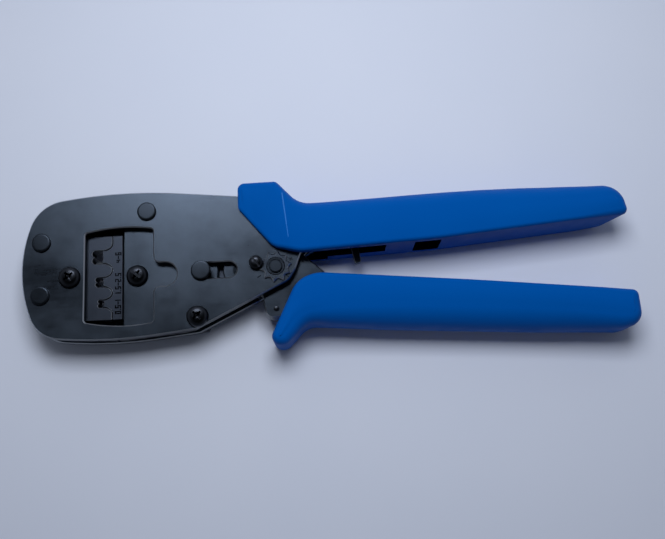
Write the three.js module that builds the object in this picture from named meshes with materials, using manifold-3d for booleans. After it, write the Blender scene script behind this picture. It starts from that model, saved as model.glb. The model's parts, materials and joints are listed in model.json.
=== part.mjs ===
// Ratchet crimping tool for open-barrel terminals, lying on its back. Millimetres, +Z up.
// While it is drawn, the handle pivot is the origin, +X runs along the frame towards the grip ends,
// +Y points to the fixed grip and Z is the height above the table. The last lines centre it.
import * as THREE from "three";
import { mergeVertices } from "three/addons/utils/BufferGeometryUtils.js";
import Module from "manifold-3d";

const wasm = await Module();
wasm.setup();

// ---------------------------------------------------------------- driving dimensions
const GRIP_THICKNESS = 20;
const MID_Z = GRIP_THICKNESS / 2;
const FRAME_PLATE = 2.6;
const FRAME_GAP = 6.8;
const BACK_FACE = MID_Z - FRAME_GAP / 2 - FRAME_PLATE;
const BACK_INSIDE = BACK_FACE + FRAME_PLATE;
const FRONT_INSIDE = BACK_INSIDE + FRAME_GAP;
const FRONT_FACE = FRONT_INSIDE + FRAME_PLATE;
const RUNNING = 0.15; // between plates that slide on each other
const SEAT = 0.05; // between pieces that are clamped together
const BORE = 0.08; // radial, between a pin and its hole
const OUTER_LAYER = 2;
const BACK_LAYER = [BACK_INSIDE + RUNNING, BACK_INSIDE + RUNNING + OUTER_LAYER];
const FRONT_LAYER = [FRONT_INSIDE - RUNNING - OUTER_LAYER, FRONT_INSIDE - RUNNING];
const MID_LAYER = [BACK_LAYER[1] + RUNNING, FRONT_LAYER[0] - RUNNING];
const ROUND = 20; // sides of a small round feature

const CRANK = 13.7; // handle pivot to crank pin, and crank pin to toggle pin
const CRANK_AT = [-CRANK, 0];
const TOGGLE_AT = [-2 * CRANK, 0];
const EYE_R = 6; // rounded ends of the crank and of the ram plates
const PIVOT_R = 4;
const CRANK_PIN_R = 2.4;
const TOGGLE_PIN_R = 2.8;
const SLOT_HALF = 2.95;
const SLOT_RUN = 10.2;

const NOSE_SCREW_AT = [-75.2, 0];
const RAM_SCREW_AT = [-51.2, 0];
const LOWER_SCREW_AT = [-28.9, -16.9];
const NOSE_RIVET_UPPER_AT = [-85.8, 13.6];
const NOSE_RIVET_LOWER_AT = [-85.8, -6.3];
const TOP_RIVET_AT = [-47.1, 23.6];
const LOCK_SCREW_AT = [-7.2, 1.8];
const SCREW_R = 2;
const SCREW_HEAD = { r: 4, h: 2.3 };
const RIVET = { r: 2.6, headR: 3.45, headH: 0.9 };
const NUT = { r: 4.04, h: 3.1 };
const LOCK_SCREW = { r: 1.1, headR: 2.45, headH: 1.1 };

const DIE_TOP = FRONT_INSIDE - 0.75;
const DIE_BOTTOM = BACK_INSIDE + 0.6;
const DIE_HALF = 15.9; // half of the dies' length across the frame
const DIE_FACE = -60.7; // tips of the fixed die's lobes
const NEST_MOUTH = -64.3; // where the nests' walls start to flare
const DIE_GAP = 0.35;
const NESTS = [
  { y: 7.95, half: 2.6, back: -68.1, punch: -64.4 },
  { y: -1.6, half: 1.85, back: -66.8, punch: -64.1 },
  { y: -9.7, half: 1.5, back: -65.8, punch: -63.8 },
];
const FIXED_DIE_LEFT = -80.6;
const MOVING_DIE_RIGHT = -56.8;

const STAR = { teeth: 10, tip: 6, root: 4.35, phase: 44.5, h: 0.9 };
const RATCHET = { tip: 15, root: 13.7, first: 29, last: 61, teeth: 8 };
const PAWL_AT = [22.5, 14.5];
const PAWL_NOSE = { r: RATCHET.tip + 0.4, angle: 25 };
const SPRING_PIN_AT = [-5.4, 7.8];
const SPRING_POST_AT = [5, 20.8];
const SPRING_PIN_R = 1.1;
const SPRING_R = 2.2;
const HEEL_AT = [-0.5, -15.1];
const HEEL_RIVET_R = 1.2;
const HANDLE_RIVETS = [[30, -13.2], [82, -19.6]];
const TANG_POSTS = [[46, 14.3], [88, 16]];
const PAWL_PIN_R = 2;

const GRIP_EDGE = 1.5;
const GRIP_WALL = 3.7; // cheek over the frame plates

// ---------------------------------------------------------------- materials
const blackOxide = new THREE.MeshStandardMaterial({ color: 0x2d323c, roughness: 0.42, metalness: 0.9 });
const darkScrew = new THREE.MeshStandardMaterial({ color: 0x24272e, roughness: 0.3, metalness: 0.9 });
const dieSteel = new THREE.MeshStandardMaterial({ color: 0x3a4048, roughness: 0.38, metalness: 0.9 });
const springSteel = new THREE.MeshStandardMaterial({ color: 0x8b8f94, roughness: 0.35, metalness: 1 });
const blueGrip = new THREE.MeshStandardMaterial({ color: 0x0050a5, roughness: 0.45, metalness: 0 });

// ---------------------------------------------------------------- shape helpers
const radians = THREE.MathUtils.degToRad;
const polar = (r, degrees) => [r * Math.cos(radians(degrees)), r * Math.sin(radians(degrees))];

// Points along an arc or part of an ellipse, angles in degrees, ends included.
function arc([x, y], rx, from, to, ry = rx, stepDegrees = 20) {
  const steps = Math.max(2, Math.ceil(Math.abs(to - from) / stepDegrees));
  return Array.from({ length: steps + 1 }, (_, i) => {
    const angle = radians(from + ((to - from) * i) / steps);
    return [x + rx * Math.cos(angle), y + ry * Math.sin(angle)];
  });
}

// The points of a closed outline through corners [x, y, radius], each rounded by an arc.
function rounded(corners) {
  const n = corners.length;
  return corners.flatMap(([x, y, r = 0], i) => {
    if (r === 0) return [[x, y]];
    const [ax, ay] = corners[(i + n - 1) % n];
    const [bx, by] = corners[(i + 1) % n];
    const corner = new THREE.Vector2(x, y);
    const before = new THREE.Vector2(ax, ay).sub(corner).normalize();
    const after = new THREE.Vector2(bx, by).sub(corner).normalize();
    const half = Math.acos(before.dot(after)) / 2;
    const middle = before.clone().add(after).normalize();
    const centre = corner.clone().addScaledVector(middle, r / Math.sin(half));
    const sweep = (180 - THREE.MathUtils.radToDeg(2 * half)) * -Math.sign(before.cross(after));
    const bisector = THREE.MathUtils.radToDeg(Math.atan2(-middle.y, -middle.x));
    const step = r > 30 ? 4 : 20;
    return arc([centre.x, centre.y], r, bisector - sweep / 2, bisector + sweep / 2, r, step);
  });
}

// Drops neighbours that fall on each other, and gives the points to three.js anticlockwise.
function asVectors(points) {
  const apart = ([ax, ay], [bx, by]) => Math.hypot(ax - bx, ay - by) > 0.12;
  const kept = points.filter((p, i) => apart(p, points[(i + 1) % points.length]));
  const vectors = kept.map(([x, y]) => new THREE.Vector2(x, y));
  return THREE.ShapeUtils.isClockWise(vectors) ? vectors.reverse() : vectors;
}

const shapeOf = (points) => new THREE.Shape(asVectors(points));
const pathOf = (points) => new THREE.Path(asVectors(points));
const outline = (corners) => shapeOf(rounded(corners));
const opening = (corners) => pathOf(rounded(corners));
const boreFor = (at, r) => pathOf(arc(at, r + BORE, 0, 360, r + BORE, 360 / ROUND));

// A level slot with round ends, from its left end's centre.
const levelSlot = ([x, y], run, half) =>
  pathOf([...arc([x + run, y], half, -90, 90), ...arc([x, y], half, 90, 270)]);

function pierce(shape, ...holes) {
  shape.holes.push(...holes);
  return shape;
}

// A flat piece between two heights, with an optional chamfer or rounded edge.
function plate(shape, [low, high], edge = 0, steps = 1) {
  const made = new THREE.ExtrudeGeometry(shape, {
    depth: high - low - 2 * edge,
    bevelEnabled: edge > 0,
    bevelThickness: edge,
    bevelSize: edge,
    bevelOffset: -edge,
    bevelSegments: steps,
  });
  return made.translate(0, 0, low + edge);
}

// A turned piece standing on [x, y]: profile rows are [radius, height], from the top down.
function turned([x, y], profile, sides = ROUND) {
  const points = profile.map(([r, z]) => new THREE.Vector2(r, z));
  const made = new THREE.LatheGeometry(points.reverse(), sides);
  return made.rotateX(Math.PI / 2).translate(x, y, 0);
}

const rod = (at, r, [low, high], sides = ROUND) =>
  turned(at, [[0, high], [r, high], [r, low], [0, low]], sides);

function boxAt([x, y, z], [dx, dy, dz], turn = 0) {
  return new THREE.BoxGeometry(dx, dy, dz).rotateZ(turn).translate(x, y, z);
}

function solidOf(geometry) {
  const bare = geometry.clone();
  bare.deleteAttribute("normal");
  bare.deleteAttribute("uv");
  const merged = mergeVertices(bare, 1e-4);
  const vertProperties = new Float32Array(merged.attributes.position.array);
  const triVerts = new Uint32Array(merged.index.array);
  return new wasm.Manifold(new wasm.Mesh({ numProp: 3, vertProperties, triVerts }));
}

function geometryOf(solid) {
  const mesh = solid.getMesh();
  const made = new THREE.BufferGeometry();
  made.setAttribute("position", new THREE.BufferAttribute(mesh.vertProperties, 3));
  made.setIndex(new THREE.BufferAttribute(mesh.triVerts, 1));
  return made;
}

const joined = (first, ...others) =>
  geometryOf(others.reduce((sum, other) => sum.add(solidOf(other)), solidOf(first)));
const cut = (first, ...others) =>
  geometryOf(others.reduce((rest, other) => rest.subtract(solidOf(other)), solidOf(first)));

const tool = new THREE.Group();

function add(name, geometry, material) {
  const mesh = new THREE.Mesh(geometry, material);
  mesh.name = name;
  tool.add(mesh);
}

// ---------------------------------------------------------------- frame plates
// Head, rounded nose over the handle pivot, and the tang that runs inside the upper grip.
const frameOutline = () =>
  outline([
    [-29.4, -21.4, 1.5],
    [-59.5, -24.5, 160],
    [-86.8, -21.9, 12.5],
    [-95.7, 3.7, 50],
    [-87.3, 28.4, 14],
    [-56.8, 32.6, 175],
    [-6, 27.2, 3],
    [2.5, 26, 3],
    [13, 19.4, 6],
    [101, 20.8, 3],
    [101, 12.6, 3],
    [17.5, 9.4, 6],
    [9.4, 4.9, 3],
    [7.2, -1, 3],
    [4.6, -5.2, 5],
  ]);

// The window over the dies, with a bay on its right for the ram screw's travel.
const frontWindow = () =>
  opening([
    [-69.9, 16.4, 1.2],
    [-57, 18.6, 60],
    [-44.8, 17.1, 1.2],
    [-44.8, 4, 2.4],
    [-36.2, 4, 4.35],
    [-36.2, -4.9, 4.35],
    [-44.8, -4.9, 2.4],
    [-44.8, -18, 1.2],
    [-57, -19.6, 60],
    [-69.9, -16.9, 1.2],
  ]);

const backWindow = () =>
  opening([
    [-70, 13.6, 2],
    [-56.4, 13.6, 2],
    [-56.4, -13.9, 2],
    [-70, -13.9, 2],
  ]);

function framePlateHoles() {
  return [
    boreFor(NOSE_SCREW_AT, SCREW_R),
    boreFor(LOWER_SCREW_AT, SCREW_R),
    boreFor(NOSE_RIVET_UPPER_AT, RIVET.r),
    boreFor(NOSE_RIVET_LOWER_AT, RIVET.r),
    boreFor(TOP_RIVET_AT, RIVET.r),
    boreFor([0, 0], PIVOT_R),
    boreFor(PAWL_AT, PAWL_PIN_R),
    boreFor(SPRING_POST_AT, SPRING_PIN_R),
    ...TANG_POSTS.map((at) => boreFor(at, PAWL_PIN_R)),
    levelSlot(TOGGLE_AT, SLOT_RUN, SLOT_HALF),
  ];
}

function addFramePlates() {
  const front = pierce(
    frameOutline(),
    frontWindow(),
    boreFor(LOCK_SCREW_AT, LOCK_SCREW.r),
    ...framePlateHoles(),
  );
  add("front_frame_plate", plate(front, [FRONT_INSIDE, FRONT_FACE]), blackOxide);
  const back = pierce(frameOutline(), backWindow(), ...framePlateHoles());
  add("back_frame_plate", plate(back, [BACK_FACE, BACK_INSIDE]), blackOxide);
}

// ---------------------------------------------------------------- spacers between the frame plates
const INNER = [BACK_INSIDE + SEAT, FRONT_INSIDE - SEAT];

// The nose block wraps round the fixed die and keeps the plates apart at the tip.
function addNoseBlock() {
  const shape = outline([
    [-59.5, -23.1, 0.5],
    [-85.9, -20.8, 11.5],
    [-94.5, 3.7, 48],
    [-86.3, 27.3, 13],
    [-59.5, 30.7, 0.5],
    [-59.5, 18.9, 0.5],
    [-70.8, 18.9, 0.5],
    [-70.8, DIE_HALF + 0.6, 0.5],
    [FIXED_DIE_LEFT - 0.3, DIE_HALF + 0.6, 0.5],
    [FIXED_DIE_LEFT - 0.3, -DIE_HALF - 0.6, 0.5],
    [-70.8, -DIE_HALF - 0.6, 0.5],
    [-70.8, -20, 0.5],
    [-59.5, -20, 0.5],
  ]);
  pierce(shape, boreFor(NOSE_RIVET_UPPER_AT, RIVET.r), boreFor(NOSE_RIVET_LOWER_AT, RIVET.r));
  add("nose_block", plate(shape, INNER), blackOxide);
}

// The rails above and below guide the ram plates.
function addRails() {
  const upper = outline([
    [-59, 19.3, 0.5],
    [-59, 30.6, 0.5],
    [-20, 27.9, 0.5],
    [-20, 23.5, 2],
    [-31, 19.3, 2],
  ]);
  add("upper_guide_rail", plate(pierce(upper, boreFor(TOP_RIVET_AT, RIVET.r)), INNER), blackOxide);
  const lower = outline([
    [-59, -20.3, 0.5],
    [-35.5, -20.3, 1],
    [-33, -14.6, 1.5],
    [-25.5, -13.4, 1.5],
    [-24.2, -16.4, 1.5],
    [-31, -20.7, 1],
    [-34, -21.2, 1],
    [-57, -23.1, 0.8],
    [-59, -23, 0.5],
  ]);
  add("lower_guide_rail", plate(pierce(lower, boreFor(LOWER_SCREW_AT, SCREW_R)), INNER), blackOxide);
}

// ---------------------------------------------------------------- fasteners
function addRivet(name, at) {
  const front = FRONT_FACE + SEAT;
  const back = BACK_FACE - SEAT;
  const edge = 0.2;
  add(name, turned(at, [
    [0, front + RIVET.headH],
    [RIVET.headR - edge, front + RIVET.headH],
    [RIVET.headR, front + RIVET.headH - edge],
    [RIVET.headR, front],
    [RIVET.r, front],
    [RIVET.r, back],
    [RIVET.headR, back],
    [RIVET.headR, back - RIVET.headH],
    [0, back - RIVET.headH],
  ]), blackOxide);
}

// A pan head screw with a cross recess; the seat is the height under its head.
function panScrew(at, seat, end) {
  const { r, h } = SCREW_HEAD;
  const body = turned(at, [
    [0, seat + h],
    [r * 0.5, seat + h * 0.94],
    [r * 0.82, seat + h * 0.72],
    [r, seat + h * 0.3],
    [r, seat],
    [SCREW_R, seat],
    [SCREW_R, end],
    [0, end],
  ]);
  const [x, y] = at;
  const arms = [0, Math.PI / 2].map((turn) =>
    boxAt([x, y, seat + h], [r * 1.05, r * 0.28, h * 1.2], turn + Math.PI / 5));
  return cut(body, ...arms);
}

function hexNut(at, [low, high]) {
  const hexagon = arc(at, NUT.r, 0, 360, NUT.r, 60);
  return plate(pierce(shapeOf(hexagon), boreFor(at, SCREW_R)), [low, high]);
}

function addFrameFasteners() {
  addRivet("nose_rivet_upper", NOSE_RIVET_UPPER_AT);
  addRivet("nose_rivet_lower", NOSE_RIVET_LOWER_AT);
  addRivet("top_rivet", TOP_RIVET_AT);
  const nutTop = BACK_FACE - SEAT;
  [["nose", NOSE_SCREW_AT], ["lower", LOWER_SCREW_AT]].forEach(([name, at]) => {
    add(`${name}_screw`, panScrew(at, FRONT_FACE + SEAT, 0), darkScrew);
    add(`${name}_nut`, hexNut(at, [nutTop - NUT.h, nutTop]), darkScrew);
  });
  TANG_POSTS.forEach((at, i) => {
    add(`tang_post_${i + 1}`, turned(at, [
      [0, FRONT_FACE],
      [PAWL_PIN_R, FRONT_FACE],
      [PAWL_PIN_R, INNER[1]],
      [3.4, INNER[1]],
      [3.4, INNER[0]],
      [PAWL_PIN_R, INNER[0]],
      [PAWL_PIN_R, BACK_FACE],
      [0, BACK_FACE],
    ]), blackOxide);
  });
}

// ---------------------------------------------------------------- dies
// The working edge from top to bottom: lobes that end in half ellipses, and the nests between them.
// Grown by the gap between the dies, the same edge is the moving die's, with punches in the nests.
function dieEdge(grow) {
  const reach = DIE_FACE - NEST_MOUTH + grow;
  const shoulder = 2.4;
  const lobe = (y, half, from, to) => arc([NEST_MOUTH, y], reach, from, to, half + grow, 18);
  const first = NESTS[0];
  const last = NESTS[NESTS.length - 1];
  const points = lobe(first.y + first.half + shoulder, shoulder, 0, -90);
  NESTS.forEach((nest, i) => {
    const wall = nest.half - grow;
    const floor = grow === 0 ? nest.back : nest.punch;
    points.push([floor, nest.y + wall], [floor + 0.6, nest.y], [floor, nest.y - wall]);
    if (nest === last) return;
    const next = NESTS[i + 1];
    const top = nest.y - nest.half;
    const bottom = next.y + next.half;
    points.push(...lobe((top + bottom) / 2, (top - bottom) / 2, 90, -90));
  });
  points.push(...lobe(last.y - last.half - shoulder, shoulder, 90, 0));
  return points;
}

function addFixedDie() {
  const block = [
    [FIXED_DIE_LEFT, -DIE_HALF],
    [FIXED_DIE_LEFT, DIE_HALF],
    [DIE_FACE, DIE_HALF],
    ...dieEdge(0),
    [DIE_FACE, -DIE_HALF],
  ];
  const shape = pierce(shapeOf(block), boreFor(NOSE_SCREW_AT, SCREW_R));
  add("fixed_die", plate(shape, [DIE_BOTTOM, DIE_TOP]), dieSteel);
}

// The moving die: a thick working edge, and a thin tang clamped between the ram plates.
function addMovingDie() {
  const head = shapeOf([
    [MOVING_DIE_RIGHT, DIE_HALF],
    [DIE_FACE + DIE_GAP, DIE_HALF],
    ...dieEdge(DIE_GAP),
    [DIE_FACE + DIE_GAP, -DIE_HALF],
    [MOVING_DIE_RIGHT, -DIE_HALF],
  ]);
  const low = MID_LAYER[0] - RUNNING + SEAT;
  const high = MID_LAYER[1] + RUNNING - SEAT;
  const tang = outline([
    [MOVING_DIE_RIGHT - 1, 12],
    [MOVING_DIE_RIGHT - 1, -12],
    [-46, -12, 1.5],
    [-46, 12, 1.5],
  ]);
  const body = joined(plate(head, [DIE_BOTTOM, DIE_TOP]), plate(tang, [low, high]));
  add("moving_die", cut(body, rod(RAM_SCREW_AT, SCREW_R + BORE, [0, GRIP_THICKNESS])), dieSteel);
}

// ---------------------------------------------------------------- ram
function ramShape() {
  const [cx] = TOGGLE_AT;
  return outline([
    [-56.4, 18.9, 0.6],
    [-56.4, -19.9, 0.6],
    [-45.6, -19.9, 1.5],
    [-42, -10.5, 4],
    [cx - 5, -8, 6],
    [cx + EYE_R, -EYE_R, EYE_R - 0.1],
    [cx + EYE_R, EYE_R, EYE_R - 0.1],
    [cx - 5, 8, 6],
    [-42, 10.5, 4],
    [-45.6, 18.9, 1.5],
  ]);
}

function addRam() {
  const ramPlate = (layer) => {
    const shape = pierce(ramShape(), boreFor(RAM_SCREW_AT, SCREW_R), boreFor(TOGGLE_AT, TOGGLE_PIN_R));
    return plate(shape, layer);
  };
  add("ram_front_plate", ramPlate(FRONT_LAYER), blackOxide);
  add("ram_back_plate", ramPlate(BACK_LAYER), blackOxide);
  add("ram_screw", panScrew(RAM_SCREW_AT, FRONT_LAYER[1] + SEAT, BACK_LAYER[0]), darkScrew);
}

// The toggle pin joins the ram plates to the link and slides in the frame plates' slots.
function addTogglePin() {
  const headLow = FRONT_FACE + RUNNING;
  const head = { r: 3.6, h: 1 };
  const grooveTop = BACK_FACE - RUNNING;
  const groove = { r: 2.2, h: 0.8 };
  const tail = grooveTop - groove.h - 0.6;
  add("toggle_pin", turned(TOGGLE_AT, [
    [0, headLow + head.h],
    [head.r - 0.25, headLow + head.h],
    [head.r, headLow + head.h - 0.25],
    [head.r, headLow],
    [TOGGLE_PIN_R, headLow],
    [TOGGLE_PIN_R, grooveTop],
    [groove.r, grooveTop],
    [groove.r, grooveTop - groove.h],
    [TOGGLE_PIN_R, grooveTop - groove.h],
    [TOGGLE_PIN_R, tail],
    [0, tail],
  ]), darkScrew);
  const mouth = 32;
  const clip = shapeOf([
    ...arc(TOGGLE_AT, 5, mouth, 360 - mouth),
    ...arc(TOGGLE_AT, groove.r + BORE, 360 - mouth, mouth),
  ]);
  add("toggle_pin_clip", plate(clip, [grooveTop - groove.h + SEAT, grooveTop - SEAT]), springSteel);
}

// ---------------------------------------------------------------- link
function addLink() {
  const half = 5;
  const shape = shapeOf([...arc(CRANK_AT, half, -90, 90), ...arc(TOGGLE_AT, half, 90, 270)]);
  pierce(shape, boreFor(CRANK_AT, CRANK_PIN_R), boreFor(TOGGLE_AT, TOGGLE_PIN_R));
  add("toggle_link", plate(shape, MID_LAYER), dieSteel);
}

// ---------------------------------------------------------------- moving handle
const [heelX, heelY] = HEEL_AT;

// Crank eye, heel, tang inside the lower grip, shoulder, and ear for the return spring.
function handleShape() {
  const [bx] = CRANK_AT;
  return outline([
    [bx - EYE_R, -EYE_R, EYE_R - 0.1],
    [bx + 1.2, -EYE_R, 1],
    [-5.6, -9.4, 3],
    [heelX - 3.6, heelY - 3.4, 2.9],
    [10, -18, 8],
    [99, -24.2, 2.5],
    [99, -17, 2.5],
    [24.5, -8.4, 6],
    [10.9, 4.1, 1.6],
    [5.5, 5.5, 3],
    [2.5, 10, 3],
    [-7.6, 11, 2.7],
    [-8.6, 6.2, 1.5],
    [bx - EYE_R, EYE_R, EYE_R - 0.1],
  ]);
}

function addHandlePlates() {
  const handlePlate = (layer) => {
    const shape = pierce(
      handleShape(),
      boreFor([0, 0], PIVOT_R),
      boreFor(CRANK_AT, CRANK_PIN_R),
      boreFor(SPRING_PIN_AT, SPRING_PIN_R),
      boreFor(HEEL_AT, HEEL_RIVET_R),
      ...HANDLE_RIVETS.map((at) => boreFor(at, PAWL_PIN_R)),
    );
    return plate(shape, layer);
  };
  add("handle_front_plate", handlePlate(FRONT_LAYER), blackOxide);
  add("handle_back_plate", handlePlate(BACK_LAYER), blackOxide);
}

// The middle lamination of the handle carries the ratchet teeth on an arc round the pivot.
function addRatchetPlate() {
  const hub = arc([0, 0], 8, 216, RATCHET.last + 4);
  const pitch = (RATCHET.last - RATCHET.first) / RATCHET.teeth;
  const teeth = Array.from({ length: RATCHET.teeth }, (_, i) => {
    const angle = RATCHET.last - i * pitch;
    return [polar(RATCHET.root, angle), polar(RATCHET.tip, angle - pitch / 2)];
  }).flat();
  const shape = shapeOf([
    ...hub,
    ...teeth,
    polar(RATCHET.root, RATCHET.first),
    polar(11.6, RATCHET.first - 4),
    [10.6, 3.9],
    [24, -8.2],
    [98.6, -17.2],
    [98.6, -23.9],
    [8, -17.8],
    ...arc(HEEL_AT, 2.7, -90, -180),
  ]);
  pierce(
    shape,
    boreFor([0, 0], PIVOT_R),
    boreFor(HEEL_AT, HEEL_RIVET_R),
    ...HANDLE_RIVETS.map((at) => boreFor(at, PAWL_PIN_R)),
  );
  const layer = [MID_LAYER[0] - RUNNING + SEAT, MID_LAYER[1] + RUNNING - SEAT];
  add("ratchet_plate", plate(shape, layer), dieSteel);
}

function addHandlePins() {
  const span = [BACK_LAYER[0], FRONT_LAYER[1]];
  add("crank_pin", rod(CRANK_AT, CRANK_PIN_R, span), darkScrew);
  add("spring_pin", rod(SPRING_PIN_AT, SPRING_PIN_R, span, 12), darkScrew);
  add("heel_rivet", rod(HEEL_AT, HEEL_RIVET_R, span, 16), darkScrew);
  HANDLE_RIVETS.forEach((at, i) => {
    add(`handle_rivet_${i + 1}`, rod(at, PAWL_PIN_R, span), blackOxide);
  });
}

// ---------------------------------------------------------------- pivot and its adjuster
function addPivot() {
  const face = FRONT_FACE + SEAT;
  const back = BACK_FACE - SEAT;
  add("handle_pivot_pin", turned([0, 0], [
    [0, face + STAR.h + 0.55],
    [2.2, face + STAR.h + 0.55],
    [2.4, face + STAR.h + 0.35],
    [2.4, face + STAR.h],
    [3.1, face + STAR.h],
    [3.1, face],
    [PIVOT_R, FRONT_FACE - 0.2],
    [PIVOT_R, back],
    [5.4, back],
    [5.4, back - 1.2],
    [0, back - 1.2],
  ]), darkScrew);

  const pitch = 360 / STAR.teeth;
  const scallop = Array.from({ length: STAR.teeth }, (_, i) => {
    const tip = STAR.phase + i * pitch;
    const share = (k) => STAR.root + (STAR.tip - STAR.root) * ((2 * k) / 5 - 1) ** 2;
    return [0, 1, 2, 3, 4].map((k) => polar(share(k), tip + (pitch * k) / 5));
  }).flat();
  const wheel = pierce(shapeOf(scallop), boreFor([0, 0], 3.1));
  add("adjuster_wheel", plate(wheel, [face, face + STAR.h]), blackOxide);
}

// A slotted screw whose head lies over the wheel's teeth and locks it.
function addLockScrew() {
  const [x, y] = LOCK_SCREW_AT;
  const seat = FRONT_FACE + STAR.h + 2 * SEAT;
  const top = seat + LOCK_SCREW.headH;
  const body = turned(LOCK_SCREW_AT, [
    [0, top],
    [LOCK_SCREW.headR - 0.3, top],
    [LOCK_SCREW.headR, top - 0.3],
    [LOCK_SCREW.headR, seat],
    [LOCK_SCREW.r, seat],
    [LOCK_SCREW.r, FRONT_INSIDE + 0.1],
    [0, FRONT_INSIDE + 0.1],
  ]);
  add("lock_screw", cut(body, boxAt([x, y, top], [6, 0.6, 1], -Math.PI / 3.4)), darkScrew);
}

// ---------------------------------------------------------------- pawl
// A bell crank in the upper grip: the nose looks at the teeth, the other arm is the release tab.
function addPawl() {
  const [px, py] = PAWL_AT;
  const nose = polar(PAWL_NOSE.r, PAWL_NOSE.angle);
  const arm = outline([
    [nose[0], nose[1], 0.3],
    [nose[0] + 2.4, nose[1] + 0.4, 0.6],
    [px - 2.8, py - 4.9, 1.5],
    [px + 3.2, py - 4.4, 1.5],
    [28, 7.2, 1],
    [29.3, 0.6, 0.4],
    [31.7, 1.2, 0.4],
    [30.7, 8.4, 1.5],
    [px + 4.2, py - 0.5, 2],
    [px + 1.5, py + 4, 3],
    [px - 3.6, py + 2.4, 3],
  ]);
  add("pawl", plate(pierce(arm, boreFor(PAWL_AT, PAWL_PIN_R)), MID_LAYER), dieSteel);
  add("pawl_pin", rod(PAWL_AT, PAWL_PIN_R, [BACK_FACE, FRONT_FACE]), darkScrew);
  const low = MID_LAYER[1] + RUNNING;
  const high = FRONT_INSIDE - RUNNING;
  const inner = PAWL_PIN_R + 0.3;
  const outer = inner + 0.9;
  const ring = [[outer, high], [outer, low], [inner, low], [inner, high], [outer, high]];
  add("pawl_spring", turned(PAWL_AT, ring, 16), springSteel);
}

// ---------------------------------------------------------------- return spring
function addReturnSpring() {
  const [qx, qy] = SPRING_PIN_AT;
  const [tx, ty] = SPRING_POST_AT;
  const reach = Math.hypot(tx - qx, ty - qy);
  const hooks = { handle: 4.7, frame: 2.3 }; // wire beyond the coil at each end
  const length = reach - hooks.handle - hooks.frame;
  const along = (hooks.handle + length / 2) / reach;
  const coil = new THREE.CylinderGeometry(SPRING_R, SPRING_R, length, 12);
  coil.rotateZ(Math.atan2(ty - qy, tx - qx) - Math.PI / 2);
  coil.translate(qx + (tx - qx) * along, qy + (ty - qy) * along, MID_Z);
  add("return_spring", coil, springSteel);
  add("spring_post", rod(SPRING_POST_AT, SPRING_PIN_R, [BACK_FACE, FRONT_FACE], 12), darkScrew);
}

// ---------------------------------------------------------------- grips
// Upper grip: a hollow moulding over the frame tangs, open below as far as its inner wall.
function addUpperGrip() {
  const skin = outline([
    [-13.1, 32.5, 2.6],
    [-13.1, 22.6, 2],
    [-0.6, 7.2, 7],
    [9, 4.6, 14],
    [60, 6.7, 200],
    [131.4, 12.6, 2.2],
    [130, 24.4, 8.3],
    [85, 27, 690],
    [9.6, 23.75, 9],
    [1.3, 32.6, 1.8],
  ]);
  const body = plate(skin, [0, GRIP_THICKNESS], GRIP_EDGE, 2);
  const cavity = [GRIP_WALL, GRIP_THICKNESS - GRIP_WALL];
  const room = outline([
    [-16, 28.6],
    [-6, 27.7, 3],
    [2.7, 26.5, 3],
    [13.2, 19.9, 6],
    [101.5, 21.3, 2],
    [101.5, 12.1, 2],
    [19.2, 9],
    [19.2, 2],
    [-16, 2],
  ]);
  const windowBox = (x0, x1, z0, z1) =>
    boxAt([(x0 + x1) / 2, 7, (z0 + z1) / 2], [x1 - x0, 9, z1 - z0]);
  add("upper_grip", cut(
    body,
    plate(room, cavity),
    windowBox(18.5, 41, 7.4, cavity[1]),
    windowBox(51.7, 61.5, cavity[0], cavity[1]),
  ), blueGrip);
}

// Lower grip: moulded over the handle plates, with a finger flare at its front end.
function addLowerGrip() {
  const skin = outline([
    [14, -3.2, 14],
    [7.2, -6.3, 10],
    [-3.4, -27.6, 3],
    [2.2, -29.8, 4],
    [10.6, -21.3, 7],
    [70, -27.6, 250],
    [124.5, -29.6, 6],
    [131.2, -28, 5],
    [130.5, -16.1, 2.4],
  ]);
  const body = plate(skin, [0, GRIP_THICKNESS], GRIP_EDGE, 2);
  const room = outline([
    [-10, -18.6],
    [8, -18.6, 6],
    [99.5, -24.8, 2.5],
    [99.5, -16.5, 2.5],
    [24.5, -7.9, 5],
    [17, -0.5],
    [-10, 4],
  ]);
  add("lower_grip", cut(body, plate(room, [BACK_INSIDE - 0.15, FRONT_INSIDE + 0.15])), blueGrip);
}

// ---------------------------------------------------------------- assembly
addFramePlates();
addNoseBlock();
addRails();
addFrameFasteners();
addFixedDie();
addMovingDie();
addRam();
addTogglePin();
addLink();
addHandlePlates();
addRatchetPlate();
addHandlePins();
addPivot();
addLockScrew();
addPawl();
addReturnSpring();
addUpperGrip();
addLowerGrip();

// The finished part stands on Z = 0 with its box centred on X and Y.
const box = new THREE.Box3().setFromObject(tool);
const middle = box.getCenter(new THREE.Vector3());
tool.position.set(-middle.x, -middle.y, -box.min.z);

export default tool;
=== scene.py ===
# %% [markdown]
# # A ratchet crimping tool, dressed for the camera
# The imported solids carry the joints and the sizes. This script puts the visible surfaces round
# them: blacked steel plates with broken edges, ground dies, screws, springs and two blue
# mouldings. All shapes are drawn in millimetres from the handle pivot, +X towards the grip ends
# and +Y towards the fixed grip, and are moved into the tool's own frame as they are made.

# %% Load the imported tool
import json
import math

import bmesh
import bpy
from mathutils import Matrix, Vector


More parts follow.
